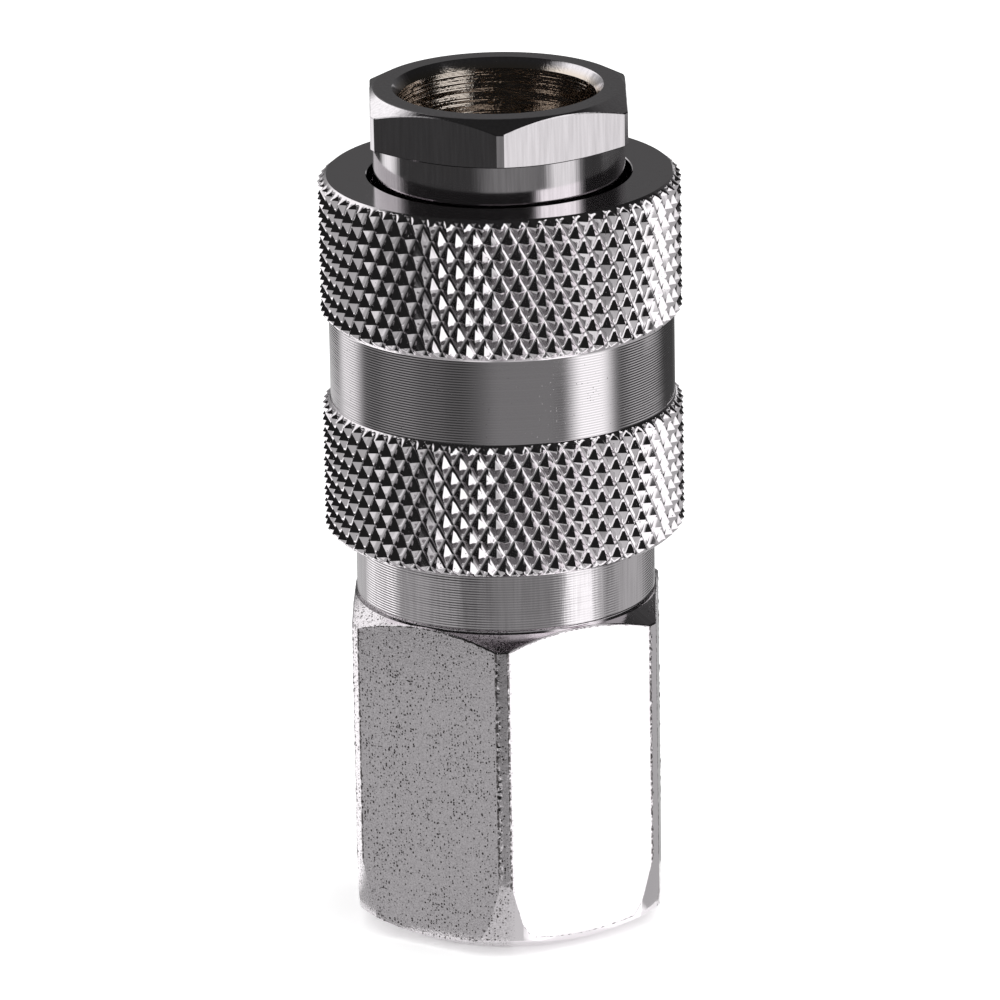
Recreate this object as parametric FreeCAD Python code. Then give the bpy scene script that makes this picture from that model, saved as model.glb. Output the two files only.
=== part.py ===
import FreeCAD, Part
import math
import os

# Quick coupling socket, upright: the female pipe thread opens downward and the plug enters from above.
# Millimetres and degrees. The axis is +Z and the bottom face lies at height zero.

# Outside heights, from the bottom up
hexagon_length = 23.5
collar_exposed = 4.6
lower_knurl_length = 9.4
plain_band_length = 6.0
upper_knurl_length = 9.9
neck_exposed = 2.7
nose_length = 3.4

# Clearances
running_clearance = 0.1
close_clearance = 0.05
cut_overshoot = 1.0

# Thread adapter, turned from hexagon bar
adapter_flats = 21.0
adapter_turn = -1.9
adapter_corner_radius = 11.9
adapter_shoulder_height = 0.95
adapter_taper_radius = 11.35
adapter_taper_height = 5.5
adapter_foot_radius = 9.1
adapter_foot_height = 1.25
collar_radius = 10.35
collar_hidden = 3.1
collar_edge = 0.3
thread_radius = 7.475
thread_entry_radius = 8.5
thread_depth = 13.0
web_thickness = 2.0
passage_radius = 4.2
chamber_radius = 7.0

# Joint between adapter and socket body
joint_length = 6.7
joint_shoulder = 0.3
joint_edge = 0.4
body_seal_thickness = 1.5
tail_wall = 1.5

# Socket body nose and bores
nose_flats = 17.5
nose_turn = 0.6
nose_corner_radius = 9.96
nose_face_radius = 8.515
nose_top_drop = 0.75
nose_under_drop = 0.35
neck_radius = 8.65
mouth_radius = 6.75
mouth_rim_radius = 7.22
mouth_rim_depth = 0.68
mouth_depth = 10.5
mouth_step = 0.15
mouth_lead = 1.0
tip_radius = 5.2
tip_length = 7.0
tip_lead = 0.8

# Locking balls and the sleeve's cam
ball_count = 6
ball_radius = 1.75
ball_protrusion = 1.05
ball_proud = 0.2
ball_floor = 2.0
sleeve_travel = 4.0
stop_step = 0.55
land_length = 2.0

# Locking sleeve
sleeve_wall = 1.45
sleeve_face_step = 0.03
sleeve_edge = 0.2
lip_thickness = 1.8
guide_length = 2.5
knurl_rise = 0.6
knurl_root_step = 0.08
knurl_count = 64
knurl_half_angle = 30.0
knurl_chamfer = 0.5
knurl_foot_step = 0.04

# Springs
sleeve_spring_wire = 1.0
sleeve_spring_turns = 4.5
valve_spring_wire = 0.7
valve_spring_turns = 9.0
ground_share = 0.25

# Seals and valve
plug_seal_height = 2.6
plug_seal_depth = 1.7
plug_seal_lip = 0.2
plug_seal_bevel = 0.45
plug_seal_cover = 1.4
valve_seal_thickness = 1.0
valve_head_thickness = 1.6
valve_head_gap = 0.4
valve_stem_radius = 4.4
valve_stem_wall = 1.3
valve_stem_rise = 4.0
valve_stem_floor = 0.4
valve_window_width = 3.0
valve_window_height = 2.0
valve_leg_width = 3.2
valve_leg_thickness = 0.85
valve_leg_length = 4.4
valve_leg_overlap = 0.8
valve_edge = 0.4

# Levels worked out from the sizes above
sleeve_bottom = hexagon_length + collar_exposed
band_bottom = sleeve_bottom + lower_knurl_length
band_top = band_bottom + plain_band_length
sleeve_top = band_top + upper_knurl_length
nose_bottom = sleeve_top + neck_exposed
nose_top = nose_bottom + nose_length
collar_top = sleeve_bottom + collar_hidden
tail_bottom = collar_top - joint_length
seal_ledge = tail_bottom - body_seal_thickness
web_top = thread_depth + web_thickness

# Sleeve outside worked out from the sizes above
spring_room_radius = collar_radius + running_clearance
plain_band_radius = spring_room_radius + sleeve_wall
sleeve_face_radius = plain_band_radius - sleeve_face_step
knurl_radius = plain_band_radius + knurl_rise

# Ball lock worked out from the sizes above
ball_bore_radius = mouth_radius - mouth_step
ball_place = ball_bore_radius + ball_radius - ball_protrusion
ball_travel = ball_protrusion + close_clearance
ball_zone_radius = ball_place + ball_radius - ball_proud
pocket_radius = ball_radius + close_clearance
cam_slope = ball_travel / sleeve_travel
land_radius = ball_zone_radius + running_clearance
lip_radius = ball_place + ball_radius + close_clearance
lip_bottom = sleeve_top - lip_thickness
ball_height = lip_bottom - sleeve_travel - ball_radius - running_clearance
cam_radius_at_ball = ball_place + pocket_radius * math.hypot(1, cam_slope)
cam_bottom = ball_height - (cam_radius_at_ball - land_radius) / cam_slope
cam_top = ball_height + sleeve_travel
cam_top_radius = cam_radius_at_ball + cam_slope * sleeve_travel
stop_height = cam_bottom - land_length
guide_bottom = stop_height - guide_length
guide_radius = ball_zone_radius - stop_step

# Socket body and valve worked out from the sizes above
tail_radius = guide_radius - joint_shoulder
valve_bore_radius = tail_radius - tail_wall
mouth_bottom = nose_top - mouth_depth
ball_bore_bottom = ball_height - ball_radius - ball_floor
valve_seat = ball_bore_bottom - tip_length
groove_top = ball_bore_bottom - plug_seal_cover
groove_bottom = groove_top - plug_seal_height
groove_radius = tip_radius + plug_seal_depth
counterbore_radius = tail_radius + close_clearance
valve_head_top = valve_seat - valve_seal_thickness
valve_head_bottom = valve_head_top - valve_head_thickness
valve_head_radius = valve_bore_radius - valve_head_gap
valve_stem_top = valve_seat + valve_stem_rise

ORIGIN = FreeCAD.Vector(0, 0, 0)
UP = FreeCAD.Vector(0, 0, 1)


def turned(*profile):
    """Solid of revolution about the axis, from the (radius, height) corners of its half section."""
    corners = [FreeCAD.Vector(radius, 0, height) for radius, height in profile]
    section = Part.Face(Part.makePolygon(corners + corners[:1]))
    return section.revolve(ORIGIN, UP, 360)


def polar(radius, angle, height):
    """Point at a radius, an angle in degrees from +X and a height."""
    turn = math.radians(angle)
    return FreeCAD.Vector(radius * math.cos(turn), radius * math.sin(turn), height)


def flat_face(*corners):
    """Flat face between corner points."""
    return Part.Face(Part.makePolygon(list(corners) + [corners[0]]))


def with_hexagon(blank, flats, turn, bottom, top):
    """Blank with six flats milled on it between two heights, one corner turned from the front (-Y)."""
    corners = [polar(flats / math.sqrt(3), 60 * i - 90 + turn, bottom) for i in range(6)]
    prism = flat_face(*corners).extrude(UP * (top - bottom))
    stock = Part.makeCylinder(flats, top - bottom, UP * bottom)
    return blank.cut(stock.cut(prism))


def coil_spring(bottom, top, mean_radius, wire, turns):
    """Compression spring between two seats, with its end coils ground flat."""
    lead = wire * ground_share
    height = top - bottom - 2 * lead
    path = Part.makeHelix(height / turns, height, mean_radius)
    start = FreeCAD.Vector(mean_radius, 0, 0)
    section = Part.Wire(Part.makeCircle(wire / 2, start, FreeCAD.Vector(0, 1, 0)))
    coil = Part.Wire(path).makePipeShell([section], True, True)
    coil.translate(UP * (bottom + lead))
    return coil.common(Part.makeCylinder(mean_radius + wire, top - bottom, UP * bottom))


def thread_adapter():
    """Hexagon with the pipe thread, and the round collar that the sleeve slides over."""
    blank = turned(
        (thread_entry_radius, 0),
        (adapter_foot_radius, 0),
        (adapter_taper_radius, adapter_foot_height),
        (adapter_corner_radius, adapter_taper_height),
        (adapter_corner_radius, hexagon_length - adapter_shoulder_height),
        (collar_radius, hexagon_length),
        (collar_radius, collar_top - collar_edge),
        (collar_radius - collar_edge, collar_top),
        (counterbore_radius, collar_top),
        (counterbore_radius, seal_ledge),
        (chamber_radius, seal_ledge),
        (chamber_radius, web_top),
        (passage_radius, web_top),
        (passage_radius, thread_depth),
        (thread_radius, thread_depth),
        (thread_radius, thread_entry_radius - thread_radius),
    )
    return with_hexagon(blank, adapter_flats, adapter_turn, 0, hexagon_length)


def ball_pocket(angle):
    """Radial pocket that is round at its inner end, so that a lip keeps the ball from falling in."""
    centre = polar(ball_place, angle, ball_height)
    reach = ball_zone_radius - ball_place + cut_overshoot
    hole = Part.makeCylinder(pocket_radius, reach, centre, polar(1, angle, 0))
    return hole.fuse(Part.makeSphere(pocket_radius, centre))


def socket_body():
    """Tube with the hexagon nose, the plug's stepped bore, the ball pockets and the valve seat."""
    neck_bottom = lip_bottom - running_clearance
    blank = turned(
        (mouth_rim_radius, nose_top),
        (nose_face_radius, nose_top),
        (nose_corner_radius, nose_top - nose_top_drop),
        (nose_corner_radius, nose_bottom + nose_under_drop),
        (neck_radius, nose_bottom),
        (neck_radius, neck_bottom),
        (ball_zone_radius, neck_bottom - (ball_zone_radius - neck_radius)),
        (ball_zone_radius, stop_height),
        (guide_radius, stop_height),
        (guide_radius, collar_top),
        (tail_radius, collar_top),
        (tail_radius, tail_bottom + joint_edge),
        (tail_radius - joint_edge, tail_bottom),
        (valve_bore_radius, tail_bottom),
        (valve_bore_radius, valve_seat),
        (tip_radius, valve_seat),
        (tip_radius, groove_bottom),
        (groove_radius, groove_bottom),
        (groove_radius, groove_top),
        (tip_radius, groove_top),
        (tip_radius, ball_bore_bottom),
        (ball_bore_radius, ball_bore_bottom + tip_lead),
        (ball_bore_radius, mouth_bottom - mouth_lead),
        (mouth_radius, mouth_bottom),
        (mouth_radius, nose_top - mouth_rim_depth),
    )
    body = with_hexagon(blank, nose_flats, nose_turn, nose_bottom, nose_top)
    pockets = [ball_pocket(360 * i / ball_count) for i in range(ball_count)]
    return body.cut(pockets)


def knurled_bar(bottom, top, bottom_foot, top_foot):
    """Bar with a diamond knurl of four-sided teeth, chamfered at both ends down to a foot radius."""
    root = plain_band_radius + knurl_root_step
    columns = 2 * knurl_count
    first = bottom + knurl_chamfer
    last = top - knurl_chamfer
    tooth_width = 2 * math.pi * knurl_radius / knurl_count
    rows = round((last - first) * 2 * math.tan(math.radians(knurl_half_angle)) / tooth_width)
    step = (last - first) / rows

    def at(radius, column, height):
        return polar(radius, 360 * column / columns, height)

    def rim(end, foot):
        """Height at which the end chamfer reaches the bottom of the grooves."""
        inward = knurl_chamfer * (root - foot) / (knurl_radius - foot)
        return bottom + inward if end == bottom else top - inward

    faces = []
    for row in range(rows + 1):
        height = first + row * step
        for column in range(row % 2, columns, 2):
            crest = at(knurl_radius, column, height)
            above = [at(root, column, height + step)]
            below = [at(root, column, height - step)]
            if row == rows:
                above = [at(root, column + side, rim(top, top_foot)) for side in (1, 0, -1)]
            if row == 0:
                below = [at(root, column + side, rim(bottom, bottom_foot)) for side in (-1, 0, 1)]
            right = at(root, column + 1, height)
            left = at(root, column - 1, height)
            outline = [right] + above + [left] + below
            faces += [flat_face(crest, a, b) for a, b in zip(outline, outline[1:] + outline[:1])]
    for end, foot in ((bottom, bottom_foot), (top, top_foot)):
        rim_ring = [at(root, column, rim(end, foot)) for column in range(columns)]
        foot_ring = [at(foot, column, end) for column in range(columns)]
        for i in range(columns):
            faces.append(flat_face(foot_ring[i - 1], foot_ring[i], rim_ring[i], rim_ring[i - 1]))
        faces.append(flat_face(*foot_ring))
    return Part.Solid(Part.Shell(faces))


def locking_sleeve():
    """Grip sleeve with two knurled bands, bored with the lip, the cam, the guide and the spring room."""
    band_foot = plain_band_radius + knurl_foot_step
    guide_bore = guide_radius + running_clearance
    lower = knurled_bar(sleeve_bottom, band_bottom, band_foot, band_foot)
    band = Part.makeCylinder(plain_band_radius, plain_band_length, UP * band_bottom)
    upper = knurled_bar(band_top, sleeve_top, band_foot, sleeve_face_radius)
    bore = turned(
        (0, sleeve_bottom - cut_overshoot),
        (spring_room_radius + sleeve_edge, sleeve_bottom - cut_overshoot),
        (spring_room_radius + sleeve_edge, sleeve_bottom),
        (spring_room_radius, sleeve_bottom + sleeve_edge),
        (spring_room_radius, guide_bottom),
        (guide_bore, guide_bottom),
        (guide_bore, stop_height),
        (land_radius, stop_height),
        (land_radius, cam_bottom),
        (cam_top_radius, cam_top),
        (cam_top_radius, lip_bottom),
        (lip_radius, lip_bottom),
        (lip_radius, sleeve_top - sleeve_edge),
        (lip_radius + sleeve_edge, sleeve_top),
        (lip_radius + sleeve_edge, sleeve_top + cut_overshoot),
        (0, sleeve_top + cut_overshoot),
    )
    return lower.fuse([band, upper]).cut(bore)


def sleeve_spring():
    """Spring between the top of the collar and the sleeve's guide."""
    mean_radius = (guide_radius + collar_radius) / 2
    return coil_spring(collar_top, guide_bottom, mean_radius, sleeve_spring_wire, sleeve_spring_turns)


def locking_ball(angle):
    """Ball at rest, standing into the plug's bore."""
    return Part.makeSphere(ball_radius, polar(ball_place, angle, ball_height))


def plug_seal():
    """Rubber ring in the groove of the tip bore, with a bevelled lip that closes on the plug's tip."""
    outer = groove_radius - close_clearance
    lip = tip_radius - plug_seal_lip
    return turned(
        (outer, groove_bottom),
        (outer, groove_top),
        (lip + plug_seal_bevel, groove_top),
        (lip, groove_top - plug_seal_bevel),
        (lip, groove_bottom + plug_seal_bevel),
        (lip + plug_seal_bevel, groove_bottom),
    )


def body_seal():
    """Flat ring between the adapter's ledge and the end of the socket body."""
    inner = chamber_radius + running_clearance
    outer = tail_radius - running_clearance
    return turned((inner, seal_ledge), (outer, seal_ledge), (outer, tail_bottom), (inner, tail_bottom))


def valve_poppet():
    """Valve with a hollow windowed stem that the plug presses, a head and four legs that guide it."""
    stem_bore = valve_stem_radius - valve_stem_wall
    leg_radius = valve_bore_radius - running_clearance
    leg_bottom = valve_head_bottom - valve_leg_length
    leg_top = valve_head_bottom + valve_leg_overlap
    window_bottom = valve_seat + running_clearance
    poppet = turned(
        (0, valve_head_bottom),
        (valve_head_radius, valve_head_bottom),
        (valve_head_radius, valve_head_top),
        (valve_stem_radius, valve_head_top),
        (valve_stem_radius, valve_stem_top - valve_edge),
        (valve_stem_radius - valve_edge, valve_stem_top),
        (stem_bore, valve_stem_top),
        (stem_bore, valve_head_top + valve_stem_floor),
        (0, valve_head_top + valve_stem_floor),
    )
    skirt = turned(
        (leg_radius - valve_leg_thickness, leg_bottom),
        (leg_radius - valve_edge, leg_bottom),
        (leg_radius, leg_bottom + valve_edge),
        (leg_radius, leg_top),
        (leg_radius - valve_leg_thickness, leg_top),
    )
    reach = 2 * leg_radius
    for angle in (0, 90):
        bar = Part.makeBox(reach, valve_leg_width, leg_top - leg_bottom)
        bar.translate(FreeCAD.Vector(-reach / 2, -valve_leg_width / 2, leg_bottom))
        bar.rotate(ORIGIN, UP, angle)
        window = Part.makeBox(reach, valve_window_width, valve_window_height)
        window.translate(FreeCAD.Vector(-reach / 2, -valve_window_width / 2, window_bottom))
        window.rotate(ORIGIN, UP, angle)
        poppet = poppet.fuse(skirt.common(bar)).cut(window)
    return poppet


def valve_seal():
    """Flat rubber ring on the poppet's head, closed against the seat."""
    inner = valve_stem_radius + close_clearance
    return turned(
        (inner, valve_head_top),
        (valve_head_radius, valve_head_top),
        (valve_head_radius, valve_seat),
        (inner, valve_seat),
    )


def valve_spring():
    """Spring between the adapter's web and the poppet's head, inside the legs."""
    legs_inner = valve_bore_radius - running_clearance - valve_leg_thickness
    mean_radius = legs_inner - running_clearance - valve_spring_wire / 2
    return coil_spring(web_top, valve_head_bottom, mean_radius, valve_spring_wire, valve_spring_turns)


nodes = {
    "thread_adapter": thread_adapter(),
    "socket_body": socket_body(),
    "locking_sleeve": locking_sleeve(),
    "sleeve_spring": sleeve_spring(),
    "plug_seal": plug_seal(),
    "body_seal": body_seal(),
    "valve_poppet": valve_poppet(),
    "valve_seal": valve_seal(),
    "valve_spring": valve_spring(),
}
for i in range(ball_count):
    nodes[f"locking_ball_{i + 1}"] = locking_ball(360 * i / ball_count)

os.makedirs("parts", exist_ok=True)
for name, shape in nodes.items():
    shape.exportStep(f"parts/{name}.step")
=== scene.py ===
import math
import random

import bpy
from mathutils import Matrix, Vector, noise


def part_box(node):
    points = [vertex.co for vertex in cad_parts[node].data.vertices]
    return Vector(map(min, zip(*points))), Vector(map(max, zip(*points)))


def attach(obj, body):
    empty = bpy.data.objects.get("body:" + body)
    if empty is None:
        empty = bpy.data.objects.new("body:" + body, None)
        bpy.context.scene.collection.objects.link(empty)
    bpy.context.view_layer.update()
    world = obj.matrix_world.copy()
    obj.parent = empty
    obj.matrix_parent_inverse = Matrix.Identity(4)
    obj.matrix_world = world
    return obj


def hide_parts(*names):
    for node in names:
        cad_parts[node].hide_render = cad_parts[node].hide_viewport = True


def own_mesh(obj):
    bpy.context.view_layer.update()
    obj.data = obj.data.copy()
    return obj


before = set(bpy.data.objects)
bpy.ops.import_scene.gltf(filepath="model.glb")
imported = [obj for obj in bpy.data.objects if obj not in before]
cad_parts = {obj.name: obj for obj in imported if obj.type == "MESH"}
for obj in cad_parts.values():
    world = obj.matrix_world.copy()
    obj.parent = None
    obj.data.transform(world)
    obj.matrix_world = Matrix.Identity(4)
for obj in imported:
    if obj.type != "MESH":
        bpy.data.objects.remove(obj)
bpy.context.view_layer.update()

# Sizes in millimetres, as the solids have them, with the frame's axes: +Z up, -Y towards the camera
MM = 0.001


def node_top(node):
    """Height of a node's top in millimetres."""
    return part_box(node)[1][2] / MM


def node_bottom(node):
    """Height of a node's bottom in millimetres."""
    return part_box(node)[0][2] / MM


# Thread adapter
hexagon_top = 23.5
adapter_flats = 21.0
adapter_turn = -1.9
adapter_corner_radius = 11.9
shoulder_height = 0.95
taper_radius = 11.35
taper_height = 5.5
least_taper = 0.3
foot_radius = 9.1
foot_height = 1.25
collar_radius = 10.35
collar_top = node_top("thread_adapter")
collar_edge = 0.3
counterbore_radius = 8.05
seal_ledge = node_bottom("body_seal")
chamber_radius = 7.0
web_top = 15.0
passage_radius = 4.2
thread_depth = 13.0
thread_minor_radius = 7.475
thread_major_radius = 8.331
thread_entry_radius = 8.5
thread_pitch = 1.337
thread_fade = 1.6
thread_fade_start = 0.3
thread_root = 1.25
thread_flank = 2.6

# Socket body
nose_top = node_top("socket_body")
nose_bottom = 56.1
nose_flats = 17.5
nose_turn = 0.6
nose_corner_radius = 9.96
nose_face_radius = 8.515
nose_top_drop = 0.75
nose_under_drop = 0.35
neck_radius = 8.65
neck_bottom = 51.5
mouth_radius = 6.75
mouth_rim_radius = 7.22
mouth_rim_depth = 0.68
mouth_bottom = 49.0
mouth_lead = 1.0
ball_bore_radius = 6.6
ball_bore_bottom = 42.0
tip_lead = 0.8
ball_zone_radius = 8.85
stop_height = 42.96
guide_radius = 8.3
tail_radius = 8.0
tail_bottom = node_bottom("socket_body")
tail_edge = 0.4
valve_bore_radius = 6.5
valve_seat = node_top("valve_seal")
tip_radius = 5.2
groove_radius = 6.9
groove_bottom = node_bottom("plug_seal")
groove_top = node_top("plug_seal")
ball_count = 6
ball_place = 7.3
ball_height = 45.75
pocket_radius = 1.8
pocket_overshoot = 1.0

# Locking sleeve
sleeve_bottom = node_bottom("locking_sleeve")
sleeve_top = node_top("locking_sleeve")
band_bottom = 37.5
band_top = 43.5
band_radius = 11.9
sleeve_face_radius = 11.87
sleeve_edge = 0.2
knurl_radius = 12.5
knurl_depth = 0.49
knurl_count = 64
knurl_rows = 8
knurl_chamfer = 0.5
knurl_foot_step = 0.04
spring_room_radius = 10.45
guide_bottom = 40.46
guide_bore_radius = 8.4
land_radius = 8.95
cam_bottom = 44.96
cam_top = 49.75
cam_top_radius = 10.267
lip_bottom = 51.6
lip_radius = 9.1

# Springs, valve and plug seal
grip_wire = 1.0
grip_turns = 4.5
valve_head_bottom = 32.4
valve_coil_radius = 5.1
valve_wire = 0.7
valve_turns = 9.0
seal_clearance = 0.05
seal_lip_reach = 0.2
seal_bevel = 0.45
seal_corner = 0.12

# Fine finish: tool grooves, broken edges, burrs and dents
tool_pitch = 0.18
tool_depth = 0.007
neck_depth = 0.0015
mouth_pitch = 0.09
mouth_depth = 0.012
mouth_spread = 0.4
mouth_chatter = 0.020
chatter_fineness = 3.6
lip_edge = 0.06
edge_break = 0.05
burr_height = 0.08
burr_width = 0.4
burr_fineness = 4.3
left_burr_share = 0.4
rim_fineness = 2.6
# Reach of the painted shade from the upright edges of the adapter's corner strips
edge_shade_reach = 2.2 * edge_break
ledge_width = 0.15
undercut = 0.06
chamfer_blend = 0.06
groove_round = 0.15
dent_height = 0.014
dent_fineness = 1.4
grain_height = 0.005
grain_fineness = 4.1

# Steps and shading of the meshes
tooth_steps = 4
chamfer_steps = 8
flat_steps = 16
adapter_strip_steps = 5
nose_strip_steps = 2
first_flat_row = 10
last_flat_row = 150
thread_steps = 110
seal_columns = 128
seal_bevel_steps = 6
turned_sharp_angle = 10.0
knurl_sharp_angle = 66.0
coil_sharp_angle = 35.0
seal_sharp_angle = 50.0


def wobble(angle, height, fineness, salt=0.0):
    """Smooth noise from -1 to 1 over a turned surface, in waves of about one over the fineness in mm."""
    mean_radius = 10
    salt_step = 100
    around = mean_radius * math.cos(angle), mean_radius * math.sin(angle)
    spot = Vector((*around, height + salt_step * salt))
    return noise.noise(spot * fineness)


def between(low, high, count):
    """Evenly spaced values from low to just short of high."""
    return [low + (high - low) * i / count for i in range(count)]


# Meshes

def add_object(name, mesh, body):
    """New piece from a mesh, riding on a body."""
    piece = bpy.data.objects.new(name, mesh)
    bpy.context.scene.collection.objects.link(piece)
    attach(piece, body)
    return piece


def new_mesh(name, points, faces):
    """Mesh from points in metres and faces."""
    mesh = bpy.data.meshes.new(name)
    mesh.from_pydata(points, [], faces)
    mesh.update()
    return mesh


def shade(mesh, sharp_angle):
    """Smooth shading that keeps each edge over an angle in degrees."""
    mesh.shade_smooth()
    mesh.set_sharp_from_angle(angle=math.radians(sharp_angle))


def ring_mesh(
    name, angles, outlines, sharp_angle=turned_sharp_angle,
    diagonal=None, sharp_rows=(), sharp_falls=False,
):
    """Closed ring through one closed outline of (radius, height) points for each angle.

    The diagonal function says which faces are cut in two and how. The level edges of the sharp rows
    stay sharp, and with sharp_falls so do the diagonals that fall to the right, seen from outside.
    """
    rows = len(outlines[0])
    points = []
    for angle, outline in zip(angles, outlines):
        for radius, height in outline:
            points.append((radius * math.cos(angle) * MM, radius * math.sin(angle) * MM, height * MM))
    faces = []
    for i in range(len(angles)):
        here = i * rows
        there = (i + 1) % len(angles) * rows
        for j in range(rows):
            up = (j + 1) % rows
            a, b, c, d = here + j, there + j, there + up, here + up
            cut = diagonal(i, j) if diagonal else None
            if cut is None:
                faces.append((a, b, c, d))
            elif cut:
                faces += [(a, b, c), (a, c, d)]
            else:
                faces += [(a, b, d), (b, c, d)]
    mesh = new_mesh(name, points, faces)
    shade(mesh, sharp_angle)
    if sharp_rows:
        sharp = mesh.attributes["sharp_edge"].data
        for edge in mesh.edges:
            (column, row), (other_column, other_row) = (divmod(corner, rows) for corner in edge.vertices)
            step = (column - other_column) % len(angles), other_row - row
            level = row == other_row and row in sharp_rows
            falling = sharp_falls and step in ((1, 1), (len(angles) - 1, -1))
            if level or falling:
                sharp[edge.index].value = True
    return mesh


def turned_rows(radius, start, end, depth, seed, spread=0.15, pitch=tool_pitch):
    """Radii and heights of the fine grooves that a lathe tool leaves, each a little different."""
    draw = random.Random(seed)
    count = 2 * round(abs(end - start) / pitch)
    rows = []
    for i, height in enumerate(between(start, end, count)):
        groove = depth * draw.uniform(1 - spread, 1 + spread) if i % 2 else 0.0
        rows.append((radius - groove, height))
    return rows


# Turned surfaces that the outlines of the adapter and the socket body run through
collar_start = hexagon_top + 3 * undercut
collar_rows = turned_rows(collar_radius, collar_start, collar_top - collar_edge, tool_depth, seed=5)
neck_rows = turned_rows(neck_radius, neck_bottom, nose_bottom, neck_depth, seed=8)
mouth_rows = turned_rows(
    mouth_radius, nose_top - mouth_rim_depth, mouth_bottom, -mouth_depth,
    seed=9, spread=mouth_spread, pitch=mouth_pitch,
)


# Locking sleeve with its diamond knurl

def tooth_share(half_teeth, level):
    """Height of the knurl on a grid of half teeth and rows, from 0 in the grooves to 1 on a point."""
    column = math.floor(half_teeth)
    row = math.floor(level)
    across = half_teeth - column
    along = level - row
    if (column + row) % 2:
        across = 1 - across
    if across + along > 1:
        across, along = 1 - across, 1 - along
    rise = 1 - across - along
    return (math.hypot(rise, groove_round) - groove_round) / (math.hypot(1, groove_round) - groove_round)


def knurl_heights(bottom, top):
    """Row heights of a knurled band, closer together over the chamfers at its ends."""
    first = bottom + knurl_chamfer
    last = top - knurl_chamfer
    return (
        between(bottom, first, chamfer_steps)
        + between(first, last, knurl_rows * tooth_steps)
        + between(last, top, chamfer_steps)
        + [top]
    )


def knurl_level(height, bottom, top):
    """Number of tooth rows above the first one."""
    return (height - bottom - knurl_chamfer) * knurl_rows / (top - bottom - 2 * knurl_chamfer)


def edge_rows(heights, bottom, top):
    """Rows of a knurled band that keep a sharp edge: its two ends and those through the points."""
    near = 0.01
    levels = [knurl_level(height, bottom, top) for height in heights]
    on_points = [row for row, level in enumerate(levels) if abs(level - round(level)) < near]
    return [0] + on_points + [len(heights) - 1]


def knurl_point(angle, height, bottom, top, bottom_foot, top_foot):
    """Outline point on a knurled band, cut by the chamfers at its ends."""
    half_teeth = angle * knurl_count / math.pi
    share = tooth_share(half_teeth, knurl_level(height, bottom, top))
    radius = knurl_radius - knurl_depth * (1 - share)
    dent = dent_height * wobble(angle, height, dent_fineness)
    radius += dent + grain_height * wobble(angle, height, grain_fineness, salt=7)
    low_cone = bottom_foot + (height - bottom) * (knurl_radius - bottom_foot) / knurl_chamfer
    high_cone = top_foot + (top - height) * (knurl_radius - top_foot) / knurl_chamfer
    cone = min(low_cone, high_cone)
    overlap = max(0.0, chamfer_blend - abs(radius - cone))
    return min(radius, cone) - overlap * overlap / (4 * chamfer_blend), height


def knurled_sleeve():
    """Grip sleeve with two knurled bands, the turned band between them and the stepped bore."""
    foot = band_radius + knurl_foot_step
    face = sleeve_face_radius
    low_heights = knurl_heights(sleeve_bottom, band_bottom)
    high_heights = knurl_heights(band_top, sleeve_top)
    band_rows = turned_rows(band_radius, band_bottom, band_top, tool_depth, seed=3)
    bore_rows = [
        (lip_radius + lip_edge, sleeve_top),
        (lip_radius, sleeve_top - lip_edge),
        (lip_radius, lip_bottom),
        (cam_top_radius, lip_bottom),
        (cam_top_radius, cam_top),
        (land_radius, cam_bottom),
        (land_radius, stop_height),
        (guide_bore_radius, stop_height),
        (guide_bore_radius, guide_bottom),
        (spring_room_radius, guide_bottom),
        (spring_room_radius, sleeve_bottom + sleeve_edge),
        (spring_room_radius + sleeve_edge, sleeve_bottom),
    ]
    angles = between(0, 2 * math.pi, 2 * knurl_count * tooth_steps)
    outlines = []
    for angle in angles:
        low = [knurl_point(angle, z, sleeve_bottom, band_bottom, foot, foot) for z in low_heights]
        high = [knurl_point(angle, z, band_top, sleeve_top, foot, face) for z in high_heights]
        outlines.append(low + band_rows + high + bore_rows)
    high_start = len(low_heights) + len(band_rows)

    def valley(i, j):
        """Way in which a knurl face is cut in two, along the groove that crosses it."""
        if j < len(low_heights) - 1:
            middle = (low_heights[j] + low_heights[j + 1]) / 2
            level = knurl_level(middle, sleeve_bottom, band_bottom)
        elif high_start <= j < high_start + len(high_heights) - 1:
            middle = (high_heights[j - high_start] + high_heights[j - high_start + 1]) / 2
            level = knurl_level(middle, band_top, sleeve_top)
        else:
            return None
        return (math.floor(level) + i // tooth_steps) % 2 == 1

    sharp_rows = set(edge_rows(low_heights, sleeve_bottom, band_bottom))
    sharp_rows.update(range(len(low_heights), high_start))
    sharp_rows.update(high_start + row for row in edge_rows(high_heights, band_top, sleeve_top))
    sharp_rows.update(range(high_start + len(high_heights), len(outlines[0])))
    mesh = ring_mesh(
        "knurled_sleeve", angles, outlines, knurl_sharp_angle,
        diagonal=valley, sharp_rows=sharp_rows, sharp_falls=True,
    )
    return add_object("knurled_sleeve", mesh, "sleeve")


# Hexagons

def flat_edge(flats, corner_radius):
    """Offset in radians from the middle of a hexagon's flat to the edge of its turned-down corner."""
    return math.acos(flats / 2 / corner_radius)


def hexagon_columns(flats, corner_radius, turn, strip_steps):
    """Angles round a hexagon with turned-down corners, each with its offset from its flat's middle."""
    edge = flat_edge(flats, corner_radius)
    shy = edge_break / corner_radius
    corner = math.radians(30)
    reach = math.tan(edge - 4 * shy)
    half_strip = between(edge - 3 * shy, edge + shy, 4) + between(edge + shy, corner, strip_steps)
    flat = [math.atan(x) for x in between(-reach, reach, flat_steps)] + [edge - 4 * shy]
    offsets = [-corner] + [-x for x in reversed(half_strip)] + flat + half_strip
    columns = []
    for i in range(6):
        middle = math.radians(60 * i - 60 + turn)
        columns += [(middle + offset, offset) for offset in offsets]
    return columns


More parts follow.
